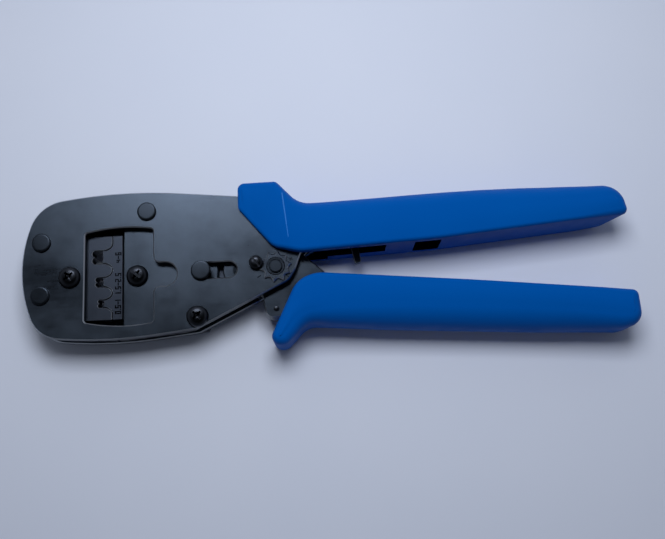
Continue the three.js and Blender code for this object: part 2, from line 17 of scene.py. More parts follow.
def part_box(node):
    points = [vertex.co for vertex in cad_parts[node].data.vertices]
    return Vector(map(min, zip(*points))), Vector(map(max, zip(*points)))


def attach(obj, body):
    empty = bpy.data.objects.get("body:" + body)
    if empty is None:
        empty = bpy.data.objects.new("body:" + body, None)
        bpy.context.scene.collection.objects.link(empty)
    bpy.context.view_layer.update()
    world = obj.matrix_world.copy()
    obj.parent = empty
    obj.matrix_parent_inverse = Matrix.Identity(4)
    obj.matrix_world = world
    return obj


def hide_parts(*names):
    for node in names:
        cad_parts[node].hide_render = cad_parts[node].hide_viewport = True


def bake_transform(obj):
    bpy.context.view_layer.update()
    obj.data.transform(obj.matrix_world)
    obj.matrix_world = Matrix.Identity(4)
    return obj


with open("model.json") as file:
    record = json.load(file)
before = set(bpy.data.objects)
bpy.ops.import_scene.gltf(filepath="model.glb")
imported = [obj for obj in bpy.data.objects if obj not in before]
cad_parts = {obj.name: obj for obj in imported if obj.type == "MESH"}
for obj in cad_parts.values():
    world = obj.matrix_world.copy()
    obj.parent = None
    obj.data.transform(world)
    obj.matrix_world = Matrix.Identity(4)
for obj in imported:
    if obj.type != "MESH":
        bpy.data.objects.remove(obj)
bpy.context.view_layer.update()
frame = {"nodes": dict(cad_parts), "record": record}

# %% [markdown]
# The pivot pin's box gives the place of the pivot, so no piece needs fitting by eye. Heights are
# measured from the table: each layer of steel takes its two heights from its own solid.

# %% Millimetres from the pivot
MM = 0.001
pin_low, pin_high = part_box("handle_pivot_pin")
PIVOT = (pin_low + pin_high) / 2
TO_ROW = Matrix.Translation((PIVOT.x, PIVOT.y, 0)) @ Matrix.Scale(MM, 4)


def layer(node):
    """Lowest and highest millimetre of a solid."""
    low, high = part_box(node)
    return low.z / MM, high.z / MM


def spot(node):
    """Centre of a solid, seen from above, in millimetres from the pivot."""
    low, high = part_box(node)
    middle = (low + high) / 2 - PIVOT
    return middle.x / MM, middle.y / MM


print("pivot, mm:", [round(v / MM, 2) for v in PIVOT])
print("front plate:", layer("front_frame_plate"), "back plate:", layer("back_frame_plate"))

# %% [markdown]
# ## Camera
# The tool lies flat and is seen from almost straight above, tipped 13.5 degrees so that the
# sides that face the bottom of the view show. A 44 mm lens at 0.3 m gives the slight
# keystone. The camera comes first, because every later choice is judged through it.

# %% Camera
LENS, REACH = 43.85, 296.1
LEANED, ROLLED = math.radians(13.5), math.radians(-3.153)
AIM_FROM_PIVOT = (20.66, -2.26)
LEVEL = Vector((math.cos(ROLLED), math.sin(ROLLED), 0))
FORWARD = Vector((-LEVEL.y, LEVEL.x, 0))
AIM_AT = TO_ROW @ Vector((*AIM_FROM_PIVOT, layer("front_frame_plate")[1]))
lift = Vector((0, 0, math.cos(LEANED))) - FORWARD * math.sin(LEANED)
CAMERA_AT = AIM_AT + lift * REACH * MM

camera_data = bpy.data.cameras.new("overhead_camera")
camera_data.lens = LENS
camera_data.sensor_width = 36
camera_data.clip_start = 0.01
camera = bpy.data.objects.new("overhead_camera", camera_data)
bpy.context.scene.collection.objects.link(camera)
sight = (AIM_AT - CAMERA_AT).normalized()
upward = LEVEL.cross(sight).normalized()
across = sight.cross(upward)
turn = Matrix((across, upward, -sight)).transposed()
camera.matrix_world = Matrix.Translation(CAMERA_AT) @ turn.to_4x4()
bpy.context.scene.camera = camera
print("camera height over the table, mm:", round(CAMERA_AT.z / MM, 1))

# %% [markdown]
# ## Finishes
# Every colour is written as the sRGB hex value that a paint chart would give, and one function
# makes it linear. One more function adds a shader node with its settings and its links.

# %% Colour and node helpers
def linear(hex_colour):
    """An sRGB hex colour as linear RGBA."""
    channels = [int(hex_colour[i:i + 2], 16) / 255 for i in (1, 3, 5)]
    bent = [c / 12.92 if c <= 0.04045 else ((c + 0.055) / 1.055) ** 2.4 for c in channels]
    return (*bent, 1.0)


def put(tree, kind, feeds=(), **settings):
    """Adds one node. feeds are (socket, value or another node's output) pairs."""
    made = tree.nodes.new(kind)
    for name, value in settings.items():
        setattr(made, name, value)
    for socket, value in feeds:
        if isinstance(value, bpy.types.NodeSocket):
            tree.links.new(value, made.inputs[socket])
        else:
            made.inputs[socket].default_value = value
    return made


def per_mm(size_mm):
    """Texture scale whose features are about this many millimetres across."""
    return 1 / (size_mm * MM)


def bare_material(name):
    material = bpy.data.materials.new(name)
    material.use_nodes = True
    material.node_tree.nodes.clear()
    return material, material.node_tree


print("grip blue, linear:", [round(c, 3) for c in linear("#0053A6")[:3]])

# %% [markdown]
# ### Black oxide on rolled steel
# The head's plates are rolled steel, stamped and then blacked in a hot salt bath. The oxide is a
# micron thick, so the steel's own satin shows through it: dark blue-grey, with long faint
# rolling lines and cloudy patches that are duller or shinier. It could be a plain dark colour,
# but the eye reads it from the way a reflection breaks up, so most of the work is in
# roughness and bump.

# %% Blacked steel
CLOUD_MM, LINE_MM, PIT_MM, RELIEF_MM = 22, 0.7, 0.35, 0.02
LINE_STRETCH, LINE_TURN = 0.06, 0.09


def blacked_steel(name, dark, light, dull, shiny, rolling=0.06):
    """Steel with a black oxide skin. dark and light are its colour patches."""
    material, tree = bare_material(name)
    where = put(tree, "ShaderNodeTexCoord").outputs["Object"]
    clouds = put(tree, "ShaderNodeTexNoise", [
        ("Vector", where), ("Scale", per_mm(CLOUD_MM)), ("Detail", 5.0), ("Roughness", 0.62)])
    stretch = put(tree, "ShaderNodeMapping", [
        ("Vector", where), ("Scale", (LINE_STRETCH, 1.0, 1.0)),
        ("Rotation", (0.0, 0.0, LINE_TURN))])
    lines = put(tree, "ShaderNodeTexNoise", [
        ("Vector", stretch.outputs[0]), ("Scale", per_mm(LINE_MM)), ("Detail", 3.0)])
    colour = put(tree, "ShaderNodeMix", [
        (0, clouds.outputs[0]), (6, linear(dark)), (7, linear(light))], data_type="RGBA")
    mottle = put(tree, "ShaderNodeMapRange", [
        ("Value", clouds.outputs[0]), ("From Min", 0.32), ("From Max", 0.68),
        ("To Min", shiny), ("To Max", dull)])
    grain = put(tree, "ShaderNodeMapRange", [
        ("Value", lines.outputs[0]), ("To Min", -rolling), ("To Max", rolling)])
    rough = put(tree, "ShaderNodeMath", [
        (0, mottle.outputs[0]), (1, grain.outputs[0])], operation="ADD")
    pits = put(tree, "ShaderNodeTexNoise", [
        ("Vector", where), ("Scale", per_mm(PIT_MM)), ("Detail", 2.0)])
    relief = put(tree, "ShaderNodeMath", [
        (0, lines.outputs[0]), (1, pits.outputs[0])], operation="ADD")
    bump = put(tree, "ShaderNodeBump", [
        ("Height", relief.outputs[0]), ("Strength", 0.3), ("Distance", RELIEF_MM * MM)])
    shader = put(tree, "ShaderNodeBsdfPrincipled", [
        ("Base Color", colour.outputs[2]), ("Metallic", 1.0),
        ("Roughness", rough.outputs[0]), ("Normal", bump.outputs[0])])
    put(tree, "ShaderNodeOutputMaterial", [("Surface", shader.outputs[0])])
    return material


PLATE_STEEL = blacked_steel("black_oxide_rolled_steel", "#272D36", "#545F6C", 0.43, 0.27)
RIVET_STEEL = blacked_steel("black_oxide_rivet_head", "#22272E", "#3C444E", 0.45, 0.3)
# Pale bare steel for the broken edges: oxide worn off there, and also a painted highlight that
# makes every edge read as a bright line.
WORN_EDGE_AND_HIGHLIGHT = blacked_steel("worn_edge_and_painted_highlight", "#8F96A0", "#B4BAC2", 0.42, 0.27)
SCREW_STEEL = blacked_steel("black_oxide_screw", "#2A2D33", "#363A41", 0.36, 0.26, 0.02)
DIE_STEEL = blacked_steel("ground_and_blacked_die_steel", "#363C46", "#474E5A", 0.46, 0.36, 0.09)
SPRING_STEEL = blacked_steel("drawn_spring_wire", "#8E9195", "#A9ACB0", 0.34, 0.26, 0.03)
# Near black for the walls and floors of stamped marks: painted shade in the recesses.
STAMP_PAINTED_SHADE = blacked_steel("painted_shade_in_stamps", "#050608", "#08090B", 0.8, 0.7)
INNER_STEEL = blacked_steel("oiled_inner_steel", "#24272D", "#2E3239", 0.5, 0.38)
print("steel finishes:", PLATE_STEEL.name, DIE_STEEL.name, SCREW_STEEL.name, SPRING_STEEL.name)

# %% [markdown]
# ### Moulded grip plastic
# The grips are moulded polypropylene with the colour all through it. The mould was lightly
# blasted, which leaves a grain of about a quarter of a millimetre and a satin gloss, and use
# has polished it unevenly. The colour is very pure, with hardly any red in it, and the weak
# sheen on top of it is tinted the same blue, so that it doesn't turn grey under the lamp.

# %% Blue moulded plastic
DRIFT_MM, HANDLED_MM, GRAIN_MM = 40, 9, 0.25


def moulded_plastic(name, deep, bright):
    """Satin plastic. deep and bright are the ends of its slow drift in colour."""
    material, tree = bare_material(name)
    where = put(tree, "ShaderNodeTexCoord").outputs["Object"]
    drift = put(tree, "ShaderNodeTexNoise", [
        ("Vector", where), ("Scale", per_mm(DRIFT_MM)), ("Detail", 3.0)])
    colour = put(tree, "ShaderNodeMix", [
        (0, drift.outputs[0]), (6, linear(deep)), (7, linear(bright))], data_type="RGBA")
    handled = put(tree, "ShaderNodeTexNoise", [
        ("Vector", where), ("Scale", per_mm(HANDLED_MM)), ("Detail", 4.0), ("Roughness", 0.6)])
    rough = put(tree, "ShaderNodeMapRange", [
        ("Value", handled.outputs[0]), ("From Min", 0.3), ("From Max", 0.7),
        ("To Min", 0.46), ("To Max", 0.58)])
    grain = put(tree, "ShaderNodeTexNoise", [
        ("Vector", where), ("Scale", per_mm(GRAIN_MM)), ("Detail", 2.0)])
    bump = put(tree, "ShaderNodeBump", [
        ("Height", grain.outputs[0]), ("Strength", 0.3), ("Distance", RELIEF_MM * MM)])
    shader = put(tree, "ShaderNodeBsdfPrincipled", [
        ("Base Color", colour.outputs[2]), ("Roughness", rough.outputs[0]),
        ("IOR", 1.47), ("Specular IOR Level", 0.12), ("Specular Tint", linear("#3A9CFF")),
        ("Normal", bump.outputs[0])])
    put(tree, "ShaderNodeOutputMaterial", [("Surface", shader.outputs[0])])
    return material


GRIP_PLASTIC = moulded_plastic("blue_moulded_plastic", "#004C9E", "#0053A6")
# A paler blue for the crease bead: a painted highlight along the crease.
GRIP_PAINTED_HIGHLIGHT = moulded_plastic("blue_plastic_painted_highlight", "#2C70C4", "#3A7CCB")
# Near black for the walls inside the grips: painted shade, as the plastic itself is blue all
# through.
GRIP_PAINTED_SHADE = moulded_plastic("grip_inside_painted_shade", "#04070C", "#060A10")
print("grip finish:", GRIP_PLASTIC.name)

# %% [markdown]
# ## Shapes from outlines
# Stamped plates, dies and grips all begin as an outline with rounded corners. A corner is
# (x, y, radius), and a fourth number, where there is one, is how far the moulding's edge is
# rounded over there. Arcs are sampled every few degrees, fine enough that no flat shows.

# %% Outline helpers
def arc(centre, radius, start, stop, stretch=None, step=6):
    """Points along an arc, angles in degrees, ends included; stretch is the radius along Y."""
    count = max(3, math.ceil(abs(stop - start) / step))
    tall = radius if stretch is None else stretch
    turns = [math.radians(start + (stop - start) * i / count) for i in range(count + 1)]
    return [(centre[0] + radius * math.cos(t), centre[1] + tall * math.sin(t)) for t in turns]


def rounded(corners):
    """A closed outline through corners, each rounded by its radius: points (x, y, edge)."""
    made = []
    for i, (x, y, r, *edge) in enumerate(corners):
        edge = edge[0] if edge else 0
        corner = Vector((x, y))
        before = (Vector(corners[i - 1][:2]) - corner).normalized()
        after = (Vector(corners[(i + 1) % len(corners)][:2]) - corner).normalized()
        if r == 0:
            made.append((x, y, edge))
            continue
        half = before.angle(after) / 2
        middle = (before + after).normalized()
        centre = corner + middle * (r / math.sin(half))
        sweep = math.degrees(math.pi - 2 * half) * (-1 if before.cross(after) > 0 else 1)
        facing = math.degrees(math.atan2(-middle.y, -middle.x))
        step = 1.2 if r > 30 else 7
        bend = arc(centre, r, facing - sweep / 2, facing + sweep / 2, step=step)
        made.extend((px, py, edge) for px, py in bend)
    return made


def area(loop):
    return sum(a[0] * b[1] - b[0] * a[1] for a, b in zip(loop, loop[1:] + loop[:1])) / 2


def tidy(loop, anticlockwise=True):
    """Drops neighbours that fall on each other and sets which way round the loop runs."""
    kept = [p for p, q in zip(loop, loop[1:] + loop[:1]) if math.dist(p[:2], q[:2]) > 0.02]
    return kept if (area(kept) > 0) == anticlockwise else kept[::-1]


def inward(loop):
    """At each point of a loop, the step into the metal on its left that moves its walls by 1."""
    steps = []
    for i, here in enumerate(loop):
        come = (Vector(here[:2]) - Vector(loop[i - 1][:2])).normalized()
        go = (Vector(loop[(i + 1) % len(loop)][:2]) - Vector(here[:2])).normalized()
        first, second = Vector((-come.y, come.x)), Vector((-go.y, go.x))
        steps.append((first + second) / max(0.35, 1 + first.dot(second)))
    return steps


print("check, area of a 2 mm square:", area(tidy([(0, 0), (2, 0), (2, 2), (0, 2)])))

# %% [markdown]
# A stamped plate is the outline between two heights, with its sharp edges broken. Building the
# chamfer from rings of points, instead of with a bevel modifier, keeps it even round
# every hole, and gives its faces their own material: pale bare steel, for oxide worn off there
# and also as a painted highlight, and that thin pale line is what makes a black plate readable.

# %% Flat pieces, turned pieces and putting them in place
def slab(outline, holes, span, edge=0.3, steps=1):
    """A flat piece with broken edges: material 0 on its faces, 1 on the broken edges."""
    low, high = span
    loops = [tidy(outline)] + [tidy(hole, False) for hole in holes]
    quarter = [math.pi / 2 * k / steps for k in range(steps + 1)]
    rise = [(edge * (1 - math.sin(a)), low + edge * (1 - math.cos(a))) for a in quarter]
    rings = rise + [(inset, low + high - z) for inset, z in reversed(rise)]
    bm = bmesh.new()
    ends = {0: [], len(rings) - 1: []}
    for loop in loops:
        steps_in = inward(loop)
        verts = [[bm.verts.new((p[0] + s.x * inset, p[1] + s.y * inset, z))
                  for p, s in zip(loop, steps_in)] for inset, z in rings]
        for k in range(len(rings) - 1):
            for i in range(len(loop)):
                j = (i + 1) % len(loop)
                quad = bm.faces.new((verts[k][i], verts[k][j], verts[k + 1][j], verts[k + 1][i]))
                quad.material_index = 0 if k == steps else 1
        for k in ends:
            row = verts[k]
            ends[k] += [bm.edges.get((row[i - 1], row[i])) for i in range(len(row))]
    for edges in ends.values():
        bmesh.ops.triangle_fill(bm, edges=edges, use_beauty=True)
    return bm


def turned(centre, profile, sides=64):
    """A lathe piece. The profile's rows are (radius, height), from the top down."""
    bm = bmesh.new()
    rings = []
    for radius, z in profile:
        if radius == 0:
            rings.append([bm.verts.new((*centre, z))])
            continue
        rim = [2 * math.pi * i / sides for i in range(sides)]
        rings.append([bm.verts.new((centre[0] + radius * math.cos(a),
                                    centre[1] + radius * math.sin(a), z)) for a in rim])
    for upper, lower in zip(rings, rings[1:]):
        for i in range(sides):
            j = (i + 1) % sides
            ring = [upper[i % len(upper)], upper[j % len(upper)],
                    lower[j % len(lower)], lower[i % len(lower)]]
            bm.faces.new(list(dict.fromkeys(ring)))
    return bm


def block(centre, size, spin=0.0, taper=1.0):
    """A box; its lower end is narrowed by taper. Used for recesses, slots and windows."""
    bm = bmesh.new()
    bmesh.ops.create_cube(bm, size=1)
    for v in bm.verts:
        shrink = taper if v.co.z < 0 else 1
        v.co = Vector((v.co.x * size[0] * shrink, v.co.y * size[1] * shrink, v.co.z * size[2]))
    bmesh.ops.rotate(bm, cent=(0, 0, 0), matrix=Matrix.Rotation(spin, 3, "Z"), verts=bm.verts)
    bmesh.ops.translate(bm, vec=centre, verts=bm.verts)
    return bm


def solid(name, bm, *finishes):
    """A new object from a drawing in millimetres, with its finishes."""
    bmesh.ops.recalc_face_normals(bm, faces=bm.faces)
    bm.transform(TO_ROW)
    mesh = bpy.data.meshes.new(name)
    bm.to_mesh(mesh)
    bm.free()
    for finish in finishes:
        mesh.materials.append(finish)
    made = bpy.data.objects.new(name, mesh)
    bpy.context.scene.collection.objects.link(made)
    return made


def carve(made, *drawings, inside=None, operation="DIFFERENCE"):
    """Cuts drawings out of a piece. inside is the finish of the walls that the cut leaves."""
    finishes = [inside] if inside else made.data.materials
    tools = [solid("cutter", bm, *finishes) for bm in drawings]
    for tool in tools:
        cut = made.modifiers.new("carve", "BOOLEAN")
        cut.operation, cut.solver, cut.object = operation, "EXACT", tool
        cut.material_mode = "TRANSFER"
    ready = made.evaluated_get(bpy.context.evaluated_depsgraph_get())
    result = bpy.data.meshes.new_from_object(ready)
    made.modifiers.clear()
    made.data = result
    for tool in tools:
        bpy.data.objects.remove(tool)


SHARP_FROM = math.radians(33)


def place(made, body, slot, *nodes):
    """Smooths a piece, and says which body it rides on and which solids it stands for."""
    made.data.shade_smooth()
    made.data.set_sharp_from_angle(angle=SHARP_FROM)
    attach(made, body)
    if nodes:
        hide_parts(*nodes)
    print(f"{made.name}: {len(made.data.polygons)} faces on {body}")


PLATE, FASTENER, GROUND, WIRE, GRIP = (m["slot"] for m in frame["record"]["materials"])
print("slots:", PLATE, FASTENER, GROUND, WIRE, GRIP)

# %% [markdown]
# ## Frame plates
# Two stamped plates hold everything. The front one has the T-shaped window over the dies, with
# a bay on its right for the ram screw, and a level slot for the toggle pin. Both follow one
# outline: head, straight run up to the nose round the pivot, and a tang inside the upper grip.

# %% Frame plates
FRAME_OUTLINE = rounded([
    (-29.4, -21.4, 1.5), (-59.5, -24.5, 160), (-86.8, -21.9, 12.5), (-95.7, 3.7, 50),
    (-87.3, 28.4, 14), (-56.8, 32.6, 175), (-6, 27.2, 3), (2.5, 26, 3), (13, 19.4, 6),
    (101, 20.8, 3), (101, 12.6, 3), (17.5, 9.4, 6), (9.4, 4.9, 3), (7.2, -1, 3), (4.6, -5.2, 5),
])
DIE_WINDOW = rounded([
    (-69.9, 16.4, 1.2), (-57, 18.6, 60), (-44.8, 17.1, 1.2), (-44.8, 4, 2.4), (-36.2, 4, 4.35),
    (-36.2, -4.9, 4.35), (-44.8, -4.9, 2.4), (-44.8, -18, 1.2), (-57, -19.6, 60),
    (-69.9, -16.9, 1.2),
])
BACK_WINDOW = rounded([
    (-70, 13.6, 2), (-56.4, 13.6, 2), (-56.4, -13.9, 2), (-70, -13.9, 2),
])
SLOT_HALF, SLOT_RUN = 2.95, 10.2
toggle = spot("toggle_pin")
TOGGLE_SLOT = (arc((toggle[0] + SLOT_RUN, 0), SLOT_HALF, -90, 90)
               + arc((toggle[0], 0), SLOT_HALF, 90, 270))

front_plate = solid(
    "front_cover_plate",
    slab(FRAME_OUTLINE, [DIE_WINDOW, TOGGLE_SLOT], layer("front_frame_plate"), 0.4),
    PLATE_STEEL, WORN_EDGE_AND_HIGHLIGHT)

# The wheel's marks: a plus, a minus and an index line beside it, stamped 0.2 mm deep, their cut
# walls painted near black as shade.
FACE = layer("front_frame_plate")[1]
MARK, MARK_LONG, MARK_DEPTH = 0.28, 1.5, 0.2
carve(
    front_plate,
    block((5.6, 2.6, FACE), (MARK_LONG, MARK, 2 * MARK_DEPTH), -0.5),
    block((5.6, 2.6, FACE), (MARK, MARK_LONG, 2 * MARK_DEPTH), -0.5),
    block((4.1, -3.7, FACE), (MARK_LONG, MARK, 2 * MARK_DEPTH), -0.7),
    block((-6.2, -3.4, FACE), (MARK, MARK_LONG + 0.1, 2 * MARK_DEPTH), -1.0),
    inside=STAMP_PAINTED_SHADE,
)
place(front_plate, "frame", PLATE, "front_frame_plate")

back_plate = solid(
    "back_cover_plate",
    slab(FRAME_OUTLINE, [BACK_WINDOW, TOGGLE_SLOT], layer("back_frame_plate"), 0.4),
    PLATE_STEEL, WORN_EDGE_AND_HIGHLIGHT)
place(back_plate, "frame", PLATE, "back_frame_plate")

# %% [markdown]
# ## Rivets
# The three frame rivets are headed flat on both sides. Their heads stand 0.9 mm over the plate
# with a slightly rolled rim, so each throws a small crescent of shade.

# %% Frame rivets
RIVET_HEAD, RIVET_SHANK = 0.9, 2.6


def rivet(name, node):
    low, high = layer(node)
    left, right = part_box(node)
    radius = (right.x - left.x) / 2 / MM
    rim = [(radius - 0.8, 0.0), (radius - 0.5, 0.01), (radius - 0.2, 0.1), (radius, 0.3)]
    upper = [(0, high), *((r, high - drop) for r, drop in rim)]
    lower = [(r, low + (high - z)) for r, z in upper]
    made = solid(name, turned(spot(node), [
        *upper, (radius, high - RIVET_HEAD), (RIVET_SHANK, high - RIVET_HEAD),
        (RIVET_SHANK, low + RIVET_HEAD), (radius, low + RIVET_HEAD), *reversed(lower)]),
        RIVET_STEEL)
    place(made, "frame", PLATE, node)


rivet("upper_tip_rivet", "nose_rivet_upper")
rivet("lower_tip_rivet", "nose_rivet_lower")
rivet("rail_rivet", "top_rivet")

# %% [markdown]
# ## Cross-recess screws and their nuts
# The pan heads are M4. A cross recess is four wings that narrow downwards round a
# conical core, so it is cut with two tapered bars and a cone. The threaded ends behind show
# as rings of thread through the nuts.

# %% Screws
HEAD_R, HEAD_H, SHANK_R, THREADED = 4.0, 2.3, 2.0, 5


def thread(top, bottom, pitch=0.7, depth=0.22):
    """Profile rows for a threaded end, crest and root in turn."""
    count = int((top - bottom - 0.5) / pitch)
    rows = []
    for i in range(count):
        z = top - 0.25 - i * pitch
        rows += [(SHANK_R - depth, z), (SHANK_R, z - pitch / 2)]
    return rows + [(SHANK_R - depth, bottom + 0.35), (SHANK_R - 0.5, bottom), (0, bottom)]


def pan_screw(name, node, body, spin):
    low, high = layer(node)
    x, y = spot(node)
    seat = high - HEAD_H
    dome = [(0, high), (1.3, high - 0.03), (2.2, high - 0.16), (3.0, high - 0.45),
            (3.6, high - 0.95), (3.93, high - 1.6), (HEAD_R, high - 1.95)]
    made = solid(name, turned((x, y), [
        *dome, (HEAD_R, seat), (SHANK_R, seat), (SHANK_R, low + THREADED),
        *thread(low + THREADED, low)]), SCREW_STEEL)
    core = turned((x, y), [
        (0, high + 1), (1.5, high + 1), (0.55, high - 1.9), (0, high - 2.0)], 24)
    bars = [block((x, y, high - 0.55), (4.5, 0.95, 2.5), spin + math.pi / 2 * k, 0.62)
            for k in range(2)]
    carve(made, core, *bars)
    place(made, body, FASTENER, node)


pan_screw("die_holding_screw", "nose_screw", "frame", 0.65)
pan_screw("lower_pan_screw", "lower_screw", "frame", 0.78)
pan_screw("ram_pan_screw", "ram_screw", "ram", 0.9)

# %% [markdown]
# The nuts are drawn as a hexagon met with a double cone, which is how their corners are really
# turned off. They only show from behind.

# %% Hexagon nuts
NUT_CORNER = 4.04


def hex_nut(name, node):
    low, high = layer(node)
    x, y = spot(node)
    hexagon = arc((x, y), NUT_CORNER, 0, 360, step=60)[:-1]
    bore = arc((x, y), SHANK_R + 0.06, 0, 360)[:-1]
    made = solid(name, slab(hexagon, [bore], (low, high), 0.05), SCREW_STEEL, SCREW_STEEL)
    carve(made, turned((x, y), [
        (0, high), (NUT_CORNER - 0.6, high), (NUT_CORNER + 0.1, high - 0.4),
        (NUT_CORNER + 0.1, low + 0.4), (NUT_CORNER - 0.6, low), (0, low)], 48),
        operation="INTERSECT")
    place(made, "frame", FASTENER, node)


hex_nut("die_screw_nut", "nose_nut")
hex_nut("lower_screw_nut", "lower_nut")

# %% [markdown]
# ## Dies
# Two dies face each other in the window. The fixed one has three nests whose floors are two
# small arcs meeting in a ridge, which curls the two wings of a terminal inwards. The moving
# one has a punch for each nest. Both edges come from one rule, the moving die's
# grown by the gap between them, so they always fit each other.

# %% Fixed die
# Each nest is its middle's height, half width, floor and the face of its punch.
NESTS = [(7.95, 2.6, -68.1, -64.4), (-1.6, 1.85, -66.8, -64.1), (-9.7, 1.5, -65.8, -63.8)]
DIE_FACE, NEST_MOUTH, SHOULDER, DIE_GAP = -60.7, -64.3, 2.4, 0.35
DIE_HALF, FIXED_LEFT, MOVING_RIGHT, DIE_EDGE = 15.9, -80.6, -56.8, 0.16


def die_edge(grow):
    """The working edge from top to bottom, moved out by grow."""
    def lobe(y, half, start, stop):
        reach = DIE_FACE - NEST_MOUTH + grow
        return arc((NEST_MOUTH, y), reach, start, stop, half + grow)

    first, last = NESTS[0], NESTS[-1]
    edge = lobe(first[0] + first[1] + SHOULDER, SHOULDER, 0, -90)
    for i, (y, half, floor, punch) in enumerate(NESTS):
        wall = half - grow
        if grow:
            edge += [(punch, y + wall), (punch + 0.25, y), (punch, y - wall)]
        else:
            edge += arc((floor + half / 2, y + half / 2), half / 2, 90, 262)
            edge += arc((floor + half / 2, y - half / 2), half / 2, 98, 270)
        if i + 1 < len(NESTS):
            top, bottom = y - half, NESTS[i + 1][0] + NESTS[i + 1][1]
            edge += lobe((top + bottom) / 2, (top - bottom) / 2, 90, -90)
    return edge + lobe(last[0] - last[1] - SHOULDER, SHOULDER, 90, 0)


fixed = solid("fixed_nest_die", slab([
    (FIXED_LEFT, -DIE_HALF), (FIXED_LEFT, DIE_HALF), (DIE_FACE, DIE_HALF), *die_edge(0),
    (DIE_FACE, -DIE_HALF)], [], layer("fixed_die"), DIE_EDGE), DIE_STEEL, WORN_EDGE_AND_HIGHLIGHT)
place(fixed, "frame", GROUND, "fixed_die")

# %% [markdown]
# The moving die's strip is stamped with the wire sizes of its nests, in square millimetres.
# They are plain numbers, read from the bottom up. A text object could be cut in, but at this
# size a punch mark is a few straight strokes, so each figure is made of at most six bars. The
# bars stand 0.02 mm apart, so that none touches another while they are cut out.

# %% Moving die and its size stamps
STAMP_X, STAMP_TALL, STAMP_DEPTH = -58.4, 2.3, 0.25
STROKE, STAMP_GAP, FIGURE_PACE, FIGURE_WIDE = 0.42, 0.02, 1.45, 0.78
BARS = {  # centre and length of each bar, in figure widths across and figure heights up
    "a": (0.5, 1, 1, 0), "g": (0.5, 0.5, 1, 0), "d": (0.5, 0, 1, 0),
    "f": (0, 0.75, 0, 0.5), "b": (1, 0.75, 0, 0.5), "e": (0, 0.25, 0, 0.5),
    "c": (1, 0.25, 0, 0.5), "l": (0, 0.5, 0, 1), "r": (1, 0.5, 0, 1), "p": (0, 0, 0, 0),
    "i": (0, 0.5, 0, 1.4),
}
FIGURES = {  # bars of a figure, and its share of the pace
    "0": ("alrd", 1), "1": ("i", 0.55), "2": ("abged", 1), "4": ("fgbc", 1),
    "5": ("afgcd", 1), "6": ("afegdc", 1), "-": ("g", 0.95), ".": ("p", 0.5),
}


def stamp(words, x, y, height, top):
    """Bars for cutting a row of figures, centred on (x, y), that reads along +Y."""
    bm = bmesh.new()
    tall = height - STROKE
    along = y - sum(FIGURES[figure][1] for figure in words) * FIGURE_PACE / 2
    for figure in words:
        bars, share = FIGURES[figure]
        for bar in bars:
            across, up, run, climb = BARS[bar]
            size = (max(STROKE, climb * tall - STROKE - STAMP_GAP),
                    max(STROKE, run * (FIGURE_WIDE + STROKE)), 2 * STAMP_DEPTH)
            centre = Vector((x + height / 2 - STROKE / 2 - up * tall,
                             along + STROKE + across * FIGURE_WIDE, top))
            grow = Matrix.Translation(centre) @ Matrix.Diagonal((*size, 1))
            bmesh.ops.create_cube(bm, size=1, matrix=grow)
        along += share * FIGURE_PACE
    return bm


moving_low, moving_high = layer("moving_die")
moving = solid("moving_punch_die", slab([
    (MOVING_RIGHT, DIE_HALF), (DIE_FACE + DIE_GAP, DIE_HALF), *die_edge(DIE_GAP),
    (DIE_FACE + DIE_GAP, -DIE_HALF), (MOVING_RIGHT, -DIE_HALF)],
    [], (moving_low, moving_high), DIE_EDGE), DIE_STEEL, WORN_EDGE_AND_HIGHLIGHT)
# The figures' cut walls and floors take the near-black painted shade.
carve(moving, *[
    stamp(words, STAMP_X, y, STAMP_TALL, moving_high)
    for words, y in (("4-6", 7.4), ("1.5-2.5", -2.4), ("0.5-1", -11.2))],
    inside=STAMP_PAINTED_SHADE)
place(moving, "ram", GROUND, "moving_die")

# %% [markdown]
# ## Ram
# The ram is two plates with the moving die's tang between them. The front one fills the right
# half of the window, 2.75 mm below the cover, and its round end shows in the toggle slot.

# %% Ram plates
EYE_R, PLATE_EDGE = 6, 0.45
tx = toggle[0]
RAM_OUTLINE = rounded([
    (-56.4, 18.9, 0.6), (-56.4, -19.9, 0.6), (-45.6, -19.9, 1.5), (-42, -10.5, 4),
    (tx - 5, -8, 6), (tx + EYE_R, -EYE_R, EYE_R - 0.1), (tx + EYE_R, EYE_R, EYE_R - 0.1),
    (tx - 5, 8, 6), (-42, 10.5, 4), (-45.6, 18.9, 1.5),
])
for name, node in (("ram_cover", "ram_front_plate"), ("ram_backing", "ram_back_plate")):
    ram = solid(
        name, slab(RAM_OUTLINE, [], layer(node), PLATE_EDGE), PLATE_STEEL, PLATE_STEEL)
    place(ram, "ram", PLATE, node)

# %% [markdown]
# ## Toggle pin and its clip
# The pin that joins the ram to the link slides in the slot. Its head covers the slot's left
# half, and a spring clip sits in a groove behind.

# %% Toggle pin and clip
low, high = layer("toggle_pin")
clip_low, clip_high = layer("toggle_pin_clip")
pin = solid("toggle_pin_headed", turned(toggle, [
    (0, high), (2.9, high), (3.2, high - 0.02), (3.5, high - 0.15), (3.6, high - 0.4),
    (3.6, high - 1.0), (2.8, high - 1.0), (2.8, clip_high + 0.05), (2.2, clip_high + 0.05),
    (2.2, clip_low - 0.05), (2.8, clip_low - 0.05), (2.8, low + 0.25), (2.55, low), (0, low)]),
    RIVET_STEEL)
place(pin, "ram", FASTENER, "toggle_pin")

CLIP_R, GROOVE_R, MOUTH = 5.0, 2.28, 32
clip = solid("spring_clip", slab([
    *arc(toggle, CLIP_R, MOUTH, 360 - MOUTH), *arc(toggle, GROOVE_R, 360 - MOUTH, MOUTH)],
    [], (clip_low, clip_high), 0.1), SPRING_STEEL, SPRING_STEEL)
place(clip, "ram", WIRE, "toggle_pin_clip")

# %% [markdown]
# ## Moving handle steel
# Three layers: two outer plates and a middle one with the ratchet teeth. Only the shoulder
# and the heel show while the tool is closed; opened, the teeth come into view.

